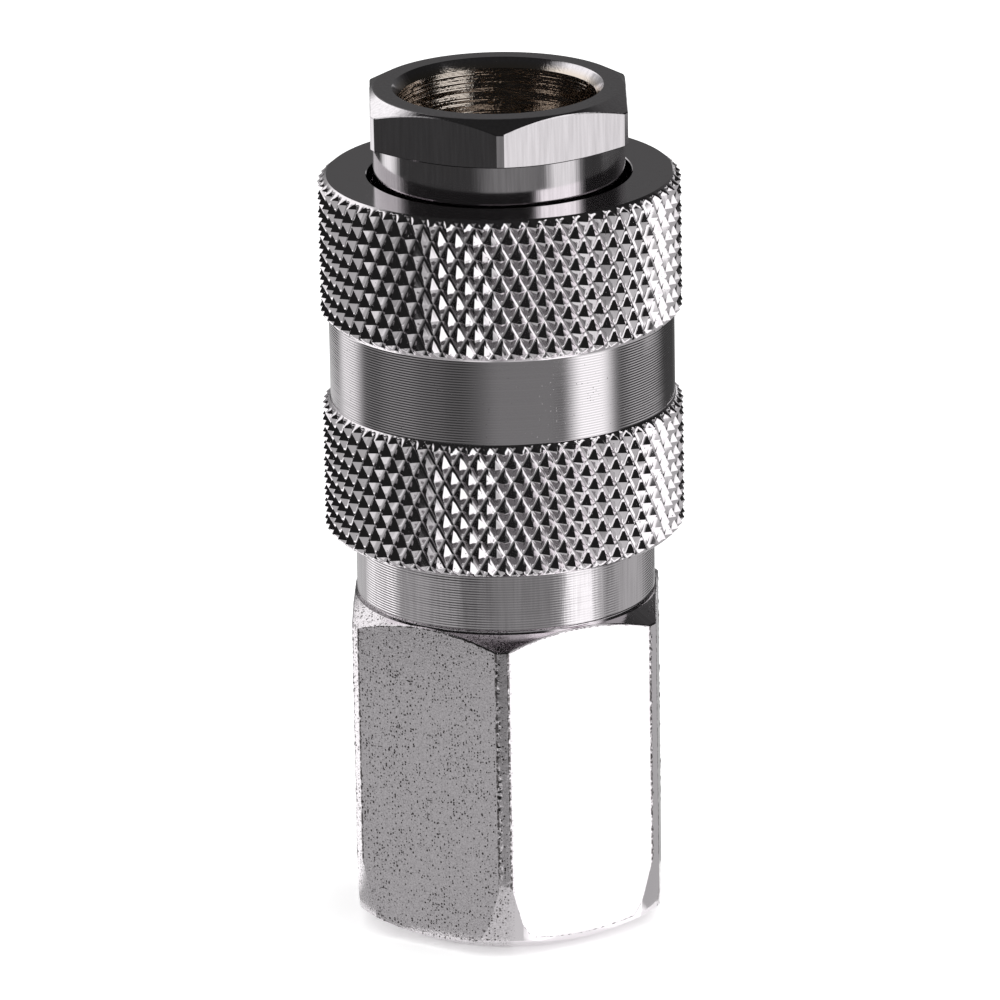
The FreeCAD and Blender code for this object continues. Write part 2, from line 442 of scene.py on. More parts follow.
def hexagon_radius(offset, flats, corner_radius):
    """Radius of a hexagon with turned-down corners, at an offset from the middle of its flat."""
    return min(flats / 2 / math.cos(offset), corner_radius)


def edge_burr(offset, angle, height):
    """Ragged burr that the lathe left on the upright edges where it turned the adapter's corners down."""
    edge = flat_edge(adapter_flats, adapter_corner_radius)
    past = (abs(offset) - edge) * adapter_corner_radius
    if past < -edge_break / 2:
        return 0.0
    near = max(0.0, 1 - past / burr_width)
    side = 1.0 if offset > 0 else left_burr_share
    return burr_height * near * side * wobble(angle, height, burr_fineness, salt=1)


def rim_burr(angle, salt):
    """Burr on the rim of a hexagon, where its flats meet a turned cone."""
    return burr_height * max(0.0, wobble(angle, 0, rim_fineness, salt))


def thread_wall(angle, height):
    """Radius of the female pipe thread, which runs out before the end of the hole."""
    turn = (height / thread_pitch - angle / (2 * math.pi)) % 1
    form = min(1, max(0, thread_root - thread_flank * abs(turn - 0.5)))
    depth = (thread_major_radius - thread_minor_radius) * form
    depth *= min(1, max(0, (thread_depth - height) / thread_fade - thread_fade_start))
    return max(thread_minor_radius + depth, thread_entry_radius - height)


def adapter_outline(angle, offset):
    """Outline of the thread adapter at one angle."""
    side = hexagon_radius(offset, adapter_flats, adapter_corner_radius)
    foot_slope = (taper_radius - foot_radius) / foot_height
    taper_slope = (adapter_corner_radius - taper_radius) / (taper_height - foot_height)
    shoulder_slope = (adapter_corner_radius - collar_radius) / shoulder_height
    foot_end = min(side, taper_radius)
    foot_end_height = (foot_end - foot_radius) / foot_slope
    flat_bottom = max(foot_height + (side - taper_radius) / taper_slope, foot_end_height + least_taper)
    flat_top = hexagon_top - shoulder_height + (adapter_corner_radius - side) / shoulder_slope

    outline = [(foot_radius, 0.0)]
    outline.append((foot_end - edge_break * foot_slope, foot_end_height - edge_break))
    for height in between(foot_end_height + edge_break, flat_bottom, first_flat_row - 2):
        outline.append((min(side, taper_radius + (height - foot_height) * taper_slope), height))
    for height in between(flat_bottom, flat_top - edge_break, last_flat_row - first_flat_row):
        outline.append((side + edge_burr(offset, angle, height), height))
    burr = rim_burr(angle, salt=2)
    outline.append((side + burr / 2, flat_top - edge_break))
    outline.append((side - edge_break * shoulder_slope + burr / 2, flat_top + edge_break))
    ledge_height = hexagon_top - ledge_width / shoulder_slope
    outline.append((collar_radius + ledge_width, ledge_height))
    outline.append((collar_radius - undercut, ledge_height))
    outline.append((collar_radius - undercut, hexagon_top + undercut))
    outline += collar_rows
    outline += [
        (collar_radius, collar_top - collar_edge),
        (collar_radius - collar_edge, collar_top),
        (counterbore_radius, collar_top),
        (counterbore_radius, seal_ledge),
        (chamber_radius, seal_ledge),
        (chamber_radius, web_top),
        (passage_radius, web_top),
        (passage_radius, thread_depth),
        (thread_minor_radius, thread_depth),
    ]
    for height in between(thread_depth, 0, thread_steps)[1:]:
        outline.append((thread_wall(angle, height), height))
    outline.append((thread_entry_radius, 0.0))
    return outline


def hexagon_adapter():
    """Hexagon with the pipe thread below and the turned collar above."""
    columns = hexagon_columns(adapter_flats, adapter_corner_radius, adapter_turn, adapter_strip_steps)
    outlines = [adapter_outline(angle, offset) for angle, offset in columns]
    start = outlines[0].index(collar_rows[0])
    groove_rows = range(start, start + len(collar_rows))
    angles = [angle for angle, offset in columns]
    mesh = ring_mesh("hexagon_adapter", angles, outlines, sharp_rows=groove_rows)
    edge = flat_edge(adapter_flats, adapter_corner_radius)
    # Painted shade: ragged dark marks go on the upright edges of the corner strips and on the rims of the
    # flats
    edge_shade = []
    for angle, offset in columns:
        upright = abs(abs(offset) - edge) * adapter_corner_radius < edge_shade_reach
        for row in range(len(outlines[0])):
            on_side = first_flat_row <= row <= last_flat_row
            on_arc = row in (first_flat_row, last_flat_row) and abs(offset) < edge
            edge_shade.append(1.0 if on_side and upright or on_arc else 0.0)
    mesh.attributes.new("edge_shade", "FLOAT", "POINT").data.foreach_set("value", edge_shade)
    return add_object("hexagon_adapter", mesh, "socket")


def body_outline(angle, offset):
    """Outline of the socket body at one angle, without its ball pockets."""
    side = hexagon_radius(offset, nose_flats, nose_corner_radius)
    under_slope = (nose_corner_radius - neck_radius) / nose_under_drop
    top_slope = (nose_corner_radius - nose_face_radius) / nose_top_drop
    flat_bottom = nose_bottom + (side - neck_radius) / under_slope
    flat_top = nose_top - (side - nose_face_radius) / top_slope
    low_burr = rim_burr(angle, salt=3)
    top_burr = rim_burr(angle, salt=5)

    outline = [
        (valve_bore_radius, tail_bottom),
        (tail_radius - tail_edge, tail_bottom),
        (tail_radius, tail_bottom + tail_edge),
        (tail_radius, collar_top),
        (guide_radius, collar_top),
        (guide_radius, stop_height),
        (ball_zone_radius, stop_height),
        (ball_zone_radius, neck_bottom - ball_zone_radius + neck_radius),
    ]
    outline += neck_rows
    outline += [
        (neck_radius, nose_bottom),
        (side - edge_break + low_burr / 3, flat_bottom - edge_break / 3),
        (side, flat_bottom + edge_break),
        (side + top_burr / 2, flat_top - edge_break),
        (side - edge_break + top_burr / 2, flat_top + edge_break / 2),
        (nose_face_radius + edge_break, nose_top - edge_break / 2),
        (nose_face_radius - edge_break, nose_top),
        (mouth_rim_radius + edge_break / 2, nose_top),
        (mouth_rim_radius - edge_break / 2, nose_top - edge_break),
    ]
    for radius, height in mouth_rows:
        chatter = mouth_chatter * wobble(angle, height, chatter_fineness, salt=6)
        outline.append((radius + chatter, height))
    outline += [
        (mouth_radius, mouth_bottom),
        (ball_bore_radius, mouth_bottom - mouth_lead),
        (ball_bore_radius, ball_bore_bottom + tip_lead),
        (tip_radius, ball_bore_bottom),
        (tip_radius, groove_top),
        (groove_radius, groove_top),
        (groove_radius, groove_bottom),
        (tip_radius, groove_bottom),
        (tip_radius, valve_seat),
        (valve_bore_radius, valve_seat),
    ]
    return outline


def pocket_cutter():
    """The six ball pockets as one mesh, each a round-ended hole that opens outward."""
    points = []
    faces = []
    sides = 32
    domes = 8
    rings = [(pocket_radius, ball_zone_radius - ball_place + pocket_overshoot)]
    for slope in between(0, math.pi / 2, domes):
        rings.append((pocket_radius * math.cos(slope), -pocket_radius * math.sin(slope)))
    for i in range(ball_count):
        turn = Matrix.Rotation(2 * math.pi * i / ball_count, 4, "Z")
        start = len(points)
        for radius, out in rings:
            for j in range(sides):
                angle = 2 * math.pi * j / sides
                height = ball_height + radius * math.sin(angle)
                spot = Vector((ball_place + out, radius * math.cos(angle), height))
                points.append(turn @ (spot * MM))
        tip = len(points)
        points.append(turn @ (Vector((ball_place - pocket_radius, 0, ball_height)) * MM))
        for ring in range(len(rings) - 1):
            for j in range(sides):
                a = start + ring * sides + j
                b = start + ring * sides + (j + 1) % sides
                faces.append((a, a + sides, b + sides, b))
        last = start + (len(rings) - 1) * sides
        faces += [(last + j, tip, last + (j + 1) % sides) for j in range(sides)]
        faces.append([start + j for j in range(sides)])
    return new_mesh("pocket_cutter", points, faces)


def cut_mesh(mesh, cutter):
    """The first mesh less the second one."""
    blank = bpy.data.objects.new("blank", mesh)
    tool = bpy.data.objects.new("tool", cutter)
    for item in (blank, tool):
        bpy.context.scene.collection.objects.link(item)
    boolean = blank.modifiers.new("pockets", "BOOLEAN")
    boolean.object = tool
    boolean.operation = "DIFFERENCE"
    boolean.solver = "EXACT"
    graph = bpy.context.evaluated_depsgraph_get()
    result = bpy.data.meshes.new_from_object(blank.evaluated_get(graph))
    for item in (blank, tool):
        bpy.data.objects.remove(item)
    return result


def socket_nose():
    """Socket body with the hexagon nose, the plug's stepped bore and the ball pockets."""
    columns = hexagon_columns(nose_flats, nose_corner_radius, nose_turn, nose_strip_steps)
    outlines = [body_outline(angle, offset) for angle, offset in columns]
    mesh = ring_mesh("socket_nose", [angle for angle, offset in columns], outlines)
    mesh = cut_mesh(mesh, pocket_cutter())
    mesh.name = "socket_nose"
    shade(mesh, turned_sharp_angle)
    return add_object("socket_nose", mesh, "socket")


# Springs and the plug seal

def coil_mesh(name, bottom, top, mean_radius, wire, turns):
    """Compression spring whose end coils are ground flat on their seats."""
    steps = 48
    sides = 12
    lead = wire / 4
    count = round(turns * steps)
    points = []
    faces = []
    for i in range(count + 1):
        angle = 2 * math.pi * i / steps
        centre = bottom + lead + (top - bottom - 2 * lead) * i / count
        for j in range(sides):
            around = 2 * math.pi * j / sides
            radius = mean_radius + wire / 2 * math.cos(around)
            height = min(top, max(bottom, centre + wire / 2 * math.sin(around)))
            points.append((radius * math.cos(angle) * MM, radius * math.sin(angle) * MM, height * MM))
    for i in range(count):
        for j in range(sides):
            a = i * sides + j
            b = i * sides + (j + 1) % sides
            faces.append((a, a + sides, b + sides, b))
    faces.append(list(range(sides)))
    faces.append([count * sides + j for j in reversed(range(sides))])
    mesh = new_mesh(name, points, faces)
    shade(mesh, coil_sharp_angle)
    return mesh


def grip_coil():
    """Spring that pushes the sleeve up."""
    low, high = collar_top, guide_bottom
    mesh = coil_mesh("grip_coil", low, high, (guide_radius + collar_radius) / 2, grip_wire, grip_turns)
    piece = add_object("grip_coil", mesh, "sleeve_spring")
    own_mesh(piece)
    return piece


def valve_coil():
    """Spring that closes the valve."""
    low, high = web_top, valve_head_bottom
    mesh = coil_mesh("valve_coil", low, high, valve_coil_radius, valve_wire, valve_turns)
    piece = add_object("valve_coil", mesh, "socket")
    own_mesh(piece)
    return piece


def lip_seal():
    """Rubber ring in the tip bore with a rounded lip that closes on the plug."""
    outer = groove_radius - seal_clearance
    lip = tip_radius - seal_lip_reach
    curve = [(seal_bevel * (1 - math.sin(bend)), seal_bevel * (1 - math.cos(bend)))
             for bend in between(0, math.pi / 2, seal_bevel_steps)]
    outline = [
        (outer, groove_bottom + seal_corner),
        (outer, groove_top - seal_corner),
        (outer - seal_corner, groove_top),
    ]
    outline += [(lip + wide, groove_top - narrow) for wide, narrow in curve]
    outline += [(lip + narrow, groove_bottom + wide) for wide, narrow in curve]
    outline += [(lip + seal_bevel, groove_bottom), (outer - seal_corner, groove_bottom)]
    angles = between(0, 2 * math.pi, seal_columns)
    mesh = ring_mesh("lip_seal", angles, [outline] * len(angles), seal_sharp_angle)
    return add_object("lip_seal", mesh, "socket")


# Materials, with noise scales in waves a metre, and bump heights and places in metres

cloud_scale = 420.0
dot_scale = 5200.0
speck_scale = 5600.0
scratch_scale = 300.0
scratch_patch_scale = 1000.0
streak_scale = 4200.0
streak_stretch = (1.0, 1.0, 0.06)
grain_scale = 8500.0
# Scale of the ragged painted shade along the hexagon's edges
edge_shade_scale = 3600.0
pit_scale = 6500.0
ring_scale = 1900.0
ring_bump = 0.000004
streak_bump = 0.00001
mark_bump = -0.00002
pit_bump = 0.00002
mark_strength = 0.5
pit_strength = 0.5
mark_darkness = 0.9
rough_spread = 0.3
dot_chance = -0.5
dot_cloud = 0.35
dot_range = (-0.02, 0.08)
speck_cloud = 0.3
speck_range = (0.36, 0.43)
speck_rate = 0.1
scratch_lines = ((0.4960, 0.0), (0.5, 1.0), (0.5040, 0.0))
scratch_range = (0.68, 0.70)
scratch_rate = 0.1
grain_range = (0.35, 0.75)
grain_level = 0.4
# Where the marks fade out towards the hexagon's lit front-right face, which is left clean as painted
# light
glare_face_left = (-0.0004, 0.0003)
glare_face_back = (-0.0054, -0.005)
hexagon_end = (hexagon_top * MM, (hexagon_top + 0.3) * MM)
# Noise and range of the ragged painted shade along the hexagon's edges
edge_shade_noise = 1.6
edge_shade_range = (1.6, 1.9)
mottle_range = (0.3, 0.8)
mottle_level = 0.25
bore_end = (mouth_radius * MM * 1.01, mouth_radius * MM * 1.05)
ring_distortion = 0.4
level_power = 8.0
rubber_scale = 3000.0
rubber_bloom = 2.2
rubber_bump = 0.00002


def tree_of(name):
    """New material, with its nodes, its links and its shader."""
    made = bpy.data.materials.new(name)
    made.use_nodes = True
    nodes = made.node_tree.nodes
    shader = nodes["Principled BSDF"]
    return made, nodes, made.node_tree.links, shader


class Painter:
    """Shorthand for the nodes of one material, over the piece's own coordinates."""

    def __init__(self, nodes, links):
        self.nodes = nodes
        self.links = links
        self.place = nodes.new("ShaderNodeTexCoord").outputs["Object"]

    def noise(self, scale, detail, place=None):
        """Noise over the piece, or over another place."""
        made = self.nodes.new("ShaderNodeTexNoise")
        made.inputs["Scale"].default_value = scale
        made.inputs["Detail"].default_value = detail
        self.links.new(place or self.place, made.inputs["Vector"])
        return made.outputs["Fac"]

    def ramp(self, source, *stops):
        """Grey levels at positions along a source."""
        made = self.nodes.new("ShaderNodeValToRGB")
        elements = made.color_ramp.elements
        for i, (position, level) in enumerate(stops):
            element = elements[i] if i < 2 else elements.new(position)
            element.position = position
            element.color = (level, level, level, 1)
        self.links.new(source, made.inputs["Fac"])
        return made.outputs["Color"]

    def sum_of(self, operation, first, second, third=None):
        """Math node over sockets or numbers."""
        made = self.nodes.new("ShaderNodeMath")
        made.operation = operation
        for i, value in enumerate((first, second, third)):
            if isinstance(value, (int, float)):
                made.inputs[i].default_value = value
            elif value is not None:
                self.links.new(value, made.inputs[i])
        return made.outputs["Value"]

    def span(self, source, low, high, low_level, high_level):
        """Level that goes from one to another as the source goes from low to high."""
        made = self.nodes.new("ShaderNodeMapRange")
        made.inputs["From Min"].default_value = low
        made.inputs["From Max"].default_value = high
        made.inputs["To Min"].default_value = low_level
        made.inputs["To Max"].default_value = high_level
        self.links.new(source, made.inputs["Value"])
        return made.outputs["Result"]

    def mix(self, share, first, second):
        """Colour between two others, where the first may be a socket."""
        share_input, first_input, second_input, colour_output = 0, 6, 7, 2
        made = self.nodes.new("ShaderNodeMix")
        made.data_type = "RGBA"
        self.links.new(share, made.inputs[share_input])
        if isinstance(first, tuple):
            made.inputs[first_input].default_value = (*first, 1)
        else:
            self.links.new(first, made.inputs[first_input])
        made.inputs[second_input].default_value = (*second, 1)
        return made.outputs[colour_output]

    def split(self, source):
        """The X, Y and Z of a vector."""
        made = self.nodes.new("ShaderNodeSeparateXYZ")
        self.links.new(source, made.inputs["Vector"])
        return made.outputs

    def bumps(self, layers):
        """Normal of several bump layers, each a height, a strength and a depth that may be negative."""
        normal = None
        for height, strength, depth in layers:
            made = self.nodes.new("ShaderNodeBump")
            made.inputs["Strength"].default_value = strength
            made.inputs["Distance"].default_value = abs(depth)
            made.invert = depth < 0
            self.links.new(height, made.inputs["Height"])
            if normal:
                self.links.new(normal, made.inputs["Normal"])
            normal = made.outputs["Normal"]
        return normal


def speckle(paint, cloud, speck, scratch):
    """Dark dots, specks and short scratches, more of them where speck and scratch are larger."""
    cells = paint.nodes.new("ShaderNodeTexVoronoi")
    cells.inputs["Scale"].default_value = dot_scale
    paint.links.new(paint.place, cells.inputs["Vector"])
    chance = paint.nodes.new("ShaderNodeSeparateColor")
    paint.links.new(cells.outputs["Color"], chance.inputs["Color"])
    dots = paint.sum_of("MULTIPLY_ADD", chance.outputs["Red"], dot_chance, cells.outputs["Distance"])
    dots = paint.sum_of("MULTIPLY_ADD", cloud, dot_cloud, dots)
    dots = paint.span(dots, *(speck_rate * speck + end for end in dot_range), 1.0, 0.0)
    specks = paint.sum_of("MULTIPLY_ADD", cloud, speck_cloud, paint.noise(speck_scale, 2.0))
    specks = paint.span(specks, *(speck_rate * speck + end for end in speck_range), 1.0, 0.0)
    contour = paint.ramp(paint.noise(scratch_scale, 1.0), *scratch_lines)
    patch_edge, patch_full = (end - scratch_rate * scratch for end in scratch_range)
    patches = paint.ramp(paint.noise(scratch_patch_scale, 1.0), (patch_edge, 0.0), (patch_full, 1.0))
    scratches = paint.sum_of("MULTIPLY", contour, patches)
    return paint.sum_of("MAXIMUM", paint.sum_of("MAXIMUM", dots, specks), scratches)


def adapter_marks(paint, marks, streaks):
    """Marks kept to the hexagon's left and back sides, off its lit front-right face as painted light,
    with painted shade along its edges, and faint streaks on what is above it.
    """
    grain = paint.span(paint.noise(grain_scale, 1.0), *grain_range, 0.0, grain_level)
    marks = paint.sum_of("ADD", marks, grain)
    spot = paint.split(paint.place)
    # Painted light: the marks are kept off the hexagon's lit front-right face, as if its glare hid them
    left = paint.span(spot["X"], *glare_face_left, 1.0, 0.0)
    back = paint.span(spot["Y"], *glare_face_back, 0.0, 1.0)
    hexagon = paint.span(spot["Z"], *hexagon_end, 1.0, 0.0)
    glare_free_sides = paint.sum_of("MULTIPLY", paint.sum_of("MAXIMUM", left, back), hexagon)
    marks = paint.sum_of("MULTIPLY", marks, glare_free_sides)
    # Painted shade: ragged dark marks along the hexagon's upright edges and the rims of its flats
    edge_shade = paint.nodes.new("ShaderNodeAttribute")
    edge_shade.attribute_name = "edge_shade"
    ragged = paint.sum_of("MULTIPLY_ADD", paint.noise(edge_shade_scale, 2.0), edge_shade_noise, edge_shade.outputs["Fac"])
    marks = paint.sum_of("MAXIMUM", marks, paint.span(ragged, *edge_shade_range, 0.0, 1.0))
    mottle = paint.span(streaks, *mottle_range, 0.0, mottle_level)
    mottle = paint.sum_of("MULTIPLY", mottle, paint.sum_of("SUBTRACT", 1.0, hexagon))
    return paint.sum_of("MAXIMUM", marks, mottle)


def within_bore(paint):
    """Share that is 1 inside the bore for the plug and 0 outside it."""
    flat_place = paint.nodes.new("ShaderNodeVectorMath")
    flat_place.operation = "MULTIPLY"
    flat_place.inputs[1].default_value = (1.0, 1.0, 0.0)
    paint.links.new(paint.place, flat_place.inputs[0])
    away = paint.nodes.new("ShaderNodeVectorMath")
    away.operation = "LENGTH"
    paint.links.new(flat_place.outputs["Vector"], away.inputs[0])
    return paint.span(away.outputs["Value"], *bore_end, 1.0, 0.0)


def tool_rings(paint):
    """Height of the rings that a facing tool leaves, on level faces only."""
    rings = paint.nodes.new("ShaderNodeTexWave")
    rings.wave_type = "RINGS"
    rings.rings_direction = "Z"
    rings.inputs["Scale"].default_value = ring_scale
    rings.inputs["Distortion"].default_value = ring_distortion
    paint.links.new(paint.place, rings.inputs["Vector"])
    facing = paint.nodes.new("ShaderNodeNewGeometry")
    level = paint.sum_of("POWER", paint.split(facing.outputs["Normal"])["Z"], level_power)
    return paint.sum_of("MULTIPLY", rings.outputs["Fac"], level)


def metal(name, colour, mark_and_shade_colour, rough, speck, scratch, streak, ring, inside=None):
    """Bare or plated metal with specks, scratches, upright streaks and tool rings on level faces.

    With a colour for the inside it is the metal of the adapter and the socket body.
    """
    made, nodes, links, shader = tree_of(name)
    shader.inputs["Metallic"].default_value = 1.0
    paint = Painter(nodes, links)
    cloud = paint.noise(cloud_scale, 3.0)
    marks = speckle(paint, cloud, speck, scratch)
    stretch = nodes.new("ShaderNodeMapping")
    stretch.inputs["Scale"].default_value = streak_stretch
    links.new(paint.place, stretch.inputs["Vector"])
    streaks = paint.noise(streak_scale, 2.0, stretch.outputs["Vector"])
    if inside:
        marks = adapter_marks(paint, marks, streaks)

    # The dark colour takes the marks, and on the adapter and socket body also the painted edge shade
    finish = paint.mix(paint.sum_of("MULTIPLY", marks, mark_darkness), colour, mark_and_shade_colour)
    layers = [
        (tool_rings(paint), ring, ring_bump),
        (streaks, streak, streak_bump),
        (marks, mark_strength, mark_bump),
    ]
    if inside:
        within = within_bore(paint)
        finish = paint.mix(within, finish, inside)
        pits = paint.sum_of("MULTIPLY", paint.noise(pit_scale, 1.0), within)
        layers.append((pits, pit_strength, pit_bump))
    smoothest = rough * (1 - rough_spread)
    roughest = rough * (1 + rough_spread)
    links.new(finish, shader.inputs["Base Color"])
    links.new(paint.span(cloud, 0.0, 1.0, smoothest, roughest), shader.inputs["Roughness"])
    links.new(paint.bumps(layers), shader.inputs["Normal"])
    return made


def rubber(name, colour):
    """Dull black rubber with a fine grain and a little bloom."""
    made, nodes, links, shader = tree_of(name)
    shader.inputs["Specular IOR Level"].default_value = 0.35
    paint = Painter(nodes, links)
    grain = paint.noise(rubber_scale, 4.0)
    bloom = nodes.new("ShaderNodeValToRGB")
    bloom.color_ramp.elements[0].color = (*colour, 1)
    bloom.color_ramp.elements[1].color = (*[rubber_bloom * level for level in colour], 1)
    links.new(grain, bloom.inputs["Fac"])
    links.new(bloom.outputs["Color"], shader.inputs["Base Color"])
    links.new(paint.span(grain, 0.0, 1.0, 0.5, 0.75), shader.inputs["Roughness"])
    links.new(paint.bumps([(grain, 0.3, rubber_bump)]), shader.inputs["Normal"])
    return made


nickel = (0.78, 0.745, 0.77)
nickel_dark = (0.07, 0.06, 0.06)
bore_brown = (0.68, 0.60, 0.53)
plated_steel = metal(
    "plated_steel", nickel, nickel_dark,
    rough=0.10, speck=0.5, scratch=0.5, streak=0.08, ring=0.25, inside=bore_brown,
)
plated_sleeve = metal(
    "plated_sleeve", nickel, nickel_dark,
    rough=0.10, speck=-2.0, scratch=-2.0, streak=0.0, ring=0.25,
)
ball_steel = metal(
    "ball_steel", (0.74, 0.74, 0.76), (0.3, 0.3, 0.3),
    rough=0.06, speck=-0.8, scratch=-2.0, streak=0.0, ring=0.0,
)
spring_steel = metal(
    "spring_steel", (0.55, 0.54, 0.53), (0.2, 0.17, 0.14),
    rough=0.25, speck=0.3, scratch=0.0, streak=0.2, ring=0.0,
)
valve_brass = metal(
    "valve_brass", (0.80, 0.58, 0.27), (0.35, 0.22, 0.09),
    rough=0.22, speck=0.0, scratch=0.0, streak=0.05, ring=0.5,
)
seal_rubber = rubber("seal_rubber", (0.016, 0.016, 0.017))


def dress(piece, material):
    """Give a piece one material all over."""
    piece.data.materials.clear()
    piece.data.materials.append(material)


def dress_node(node, material):
    """Give each slot of a CAD node a material."""
    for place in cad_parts[node].material_slots:
        place.material = material


# The object

sleeve = knurled_sleeve()
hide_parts("locking_sleeve")
dress(sleeve, plated_sleeve)

adapter = hexagon_adapter()
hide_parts("thread_adapter")
dress(adapter, plated_steel)

nose = socket_nose()
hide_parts("socket_body")
dress(nose, plated_steel)

grip_spring = grip_coil()
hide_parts("sleeve_spring")
dress(grip_spring, spring_steel)

valve_spring = valve_coil()
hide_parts("valve_spring")
dress(valve_spring, spring_steel)

seal = lip_seal()
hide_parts("plug_seal")
dress(seal, seal_rubber)

for i in range(ball_count):
    dress_node(f"locking_ball_{i + 1}", ball_steel)
dress_node("valve_poppet", valve_brass)
dress_node("valve_seal", seal_rubber)
dress_node("body_seal", seal_rubber)


# Studio: a white floor and world, with reflection cards that only the metal sees

# Soft-edged lights of the cards, each with its azimuth in degrees from the camera's side to the right,
# its half width, its softness and its level
near_floor = 0.48
near_lights = ((-110, 16, 10, 0.95),)
foot_lights = ((0, 16, 12, 0.22),)
front_lights = ((-22, 8, 6, 0.4), (-3, 2, 4, -0.15), (16, 8, 6, 0.15))
fore_lights = ((0, 30, 8, -0.2),)
mid_floor = 0.20
mid_lights = (
    (59, 6, 15, 1.15), (-146, 16, 36, 0.38), (-71, 6, 16, 0.10),
    (-24, 8, 16, -0.07), (143, 8, 24, -0.14), (108, 10, 18, 0.28),
)
far_floor = 0.045
far_lights = ((60, 7, 16, 0.9), (-119, 5, 15, 1.05), (12, 14, 26, 0.17))
horizon_lights = ((136, 24, 10, 0.9),)
wall_base = 0.015
wall_lights = ((56, 14, 14, 1.35), (180, 24, 30, 0.075))
ceiling_tone = 0.02

# Distances from the axis in millimetres at which the floor's lights begin and end
foot_light_end = (24, 20)
front_light_start = (22, 26)
front_light_end = (54, 46)
fore_light_start = (46, 54)
middle_ring_start = (76, 82)
far_ring_start = (135, 165)
horizon_light_start = (200, 240)
right_light_end = 64
right_light_turn = 54.5
right_light_bend = 560
right_light_soft = 4
right_light_level = 0.95

# Elevations in degrees at which the wall's lights begin and end, and its left light
lean_start = 18
lean_rate = 1.2
lift_start = (20, 30)
horizon_light_end = (14, 6)
ceiling_start = (46, 56)
left_azimuth = -136
left_half_width = 20
left_soft = 14
left_level = 0.25
left_lift = 0.95

# The cards' grids
wall_distance = 400.0
card_height = 0.05
card_azimuths = list(range(-180, 181, 2))
floor_steps = [
    13, 15, 17, 19, 20, 22, 24, 26, 30, 35, 40, 46, 50, 54, 60, 68, 76, 82,
    100, 135, 150, 165, 200, 240, 300, wall_distance,
]
wall_steps = [0, 6, 10, 14, 18, 24, 30, 36, 41, 46, 51, 56, 65, 75, 90]


def light_level(base, lights, azimuth):
    """Brightness at an azimuth, from soft-edged lights over a base level."""
    level = base
    for centre, half_width, softness, strength in lights:
        away = abs((azimuth - centre + 180) % 360 - 180)
        share = min(1.0, max(0.0, (half_width + softness - away) / softness))
        level += strength * share * share * (3 - 2 * share)
    return level


def fade(value, start, end):
    """Share from 0 at the start to 1 at the end."""
    return min(1.0, max(0.0, (value - start) / (end - start)))


def floor_tone(azimuth, distance):
    """Floor brightness in three rings: for the hexagon, for the collar and sleeve, and for the nose."""
    left_edge = right_light_turn - right_light_bend / distance
    right_middle = left_edge / 2 + right_light_end / 2
    right_half = right_light_end / 2 - left_edge / 2
    right_light = (right_middle, right_half, right_light_soft, right_light_level)
    foot = light_level(0, foot_lights, azimuth) * fade(distance, *foot_light_end)
    front = light_level(0, front_lights, azimuth) * fade(distance, *front_light_start)
    front *= fade(distance, *front_light_end)
    fore = light_level(0, fore_lights, azimuth) * fade(distance, *fore_light_start)
    near = light_level(near_floor, near_lights + (right_light,), azimuth) + foot + front + fore
    middle = light_level(mid_floor, mid_lights, azimuth)
    far = light_level(far_floor, far_lights, azimuth)
    far += light_level(0, horizon_lights, azimuth) * fade(distance, *horizon_light_start)
    inner = fade(distance, *middle_ring_start)
    outer = fade(distance, *far_ring_start)
    return near * (1 - inner) + middle * (inner - outer) + far * outer


def wall_tone(azimuth, elevation):
    """Wall brightness under a dark ceiling, with a left light that grows and comes forward higher up."""
    lean = lean_rate * max(0, elevation - lean_start)
    lift = fade(elevation, *lift_start)
    level = left_level + left_lift * lift
    left_light = (left_azimuth + lean / 2, left_half_width + lean / 2, left_soft, level)
    wall = light_level(wall_base, wall_lights + (left_light,), azimuth)
    wall += light_level(0, horizon_lights, azimuth) * fade(elevation, *horizon_light_end)
    share = fade(elevation, *ceiling_start)
    return wall * (1 - share) + ceiling_tone * share


def floor_spot(distance):
    """Distance from the axis and height of a point of the floor card."""
    return distance, card_height


def wall_spot(elevation):
    """Distance from the axis and height of a point of the wall card."""
    slope = math.radians(elevation)
    return wall_distance * math.cos(slope), wall_distance * math.sin(slope) + card_height


def card_material(name):
    """Glow by the brightness stored at each point."""
    made = bpy.data.materials.new(name)
    made.use_nodes = True
    nodes = made.node_tree.nodes
    nodes.remove(nodes["Principled BSDF"])
    glow = nodes.new("ShaderNodeEmission")
    tone = nodes.new("ShaderNodeAttribute")
    tone.attribute_name = "tone"
    made.node_tree.links.new(tone.outputs["Fac"], glow.inputs["Strength"])
    made.node_tree.links.new(glow.outputs["Emission"], nodes["Material Output"].inputs["Surface"])
    return made


def reflection_card(name, steps, spot, tone):
    """Sheet over a grid of azimuths and steps that only glossy rays see."""
    points = []
    tones = []
    for azimuth in card_azimuths:
        turn = math.radians(azimuth)
        for step in steps:
            away, height = spot(step)
            points.append((away * math.sin(turn) * MM, -away * math.cos(turn) * MM, height * MM))
            tones.append(tone(azimuth, step))
    rows = len(steps)
    faces = []
    for i in range(len(card_azimuths) - 1):
        for j in range(rows - 1):
            a = i * rows + j
            faces.append((a, a + 1, a + rows + 1, a + rows))
    mesh = new_mesh(name, points, faces)
    mesh.attributes.new("tone", "FLOAT", "POINT").data.foreach_set("value", tones)
    card = bpy.data.objects.new(name, mesh)
    bpy.context.scene.collection.objects.link(card)
    card.visible_camera = False
    card.visible_diffuse = False
    card.visible_transmission = False
    card.visible_volume_scatter = False
    card.visible_shadow = False
    mesh.materials.append(card_material(name))


reflection_card("floor_card", floor_steps, floor_spot, floor_tone)
reflection_card("wall_card", wall_steps, wall_spot, wall_tone)


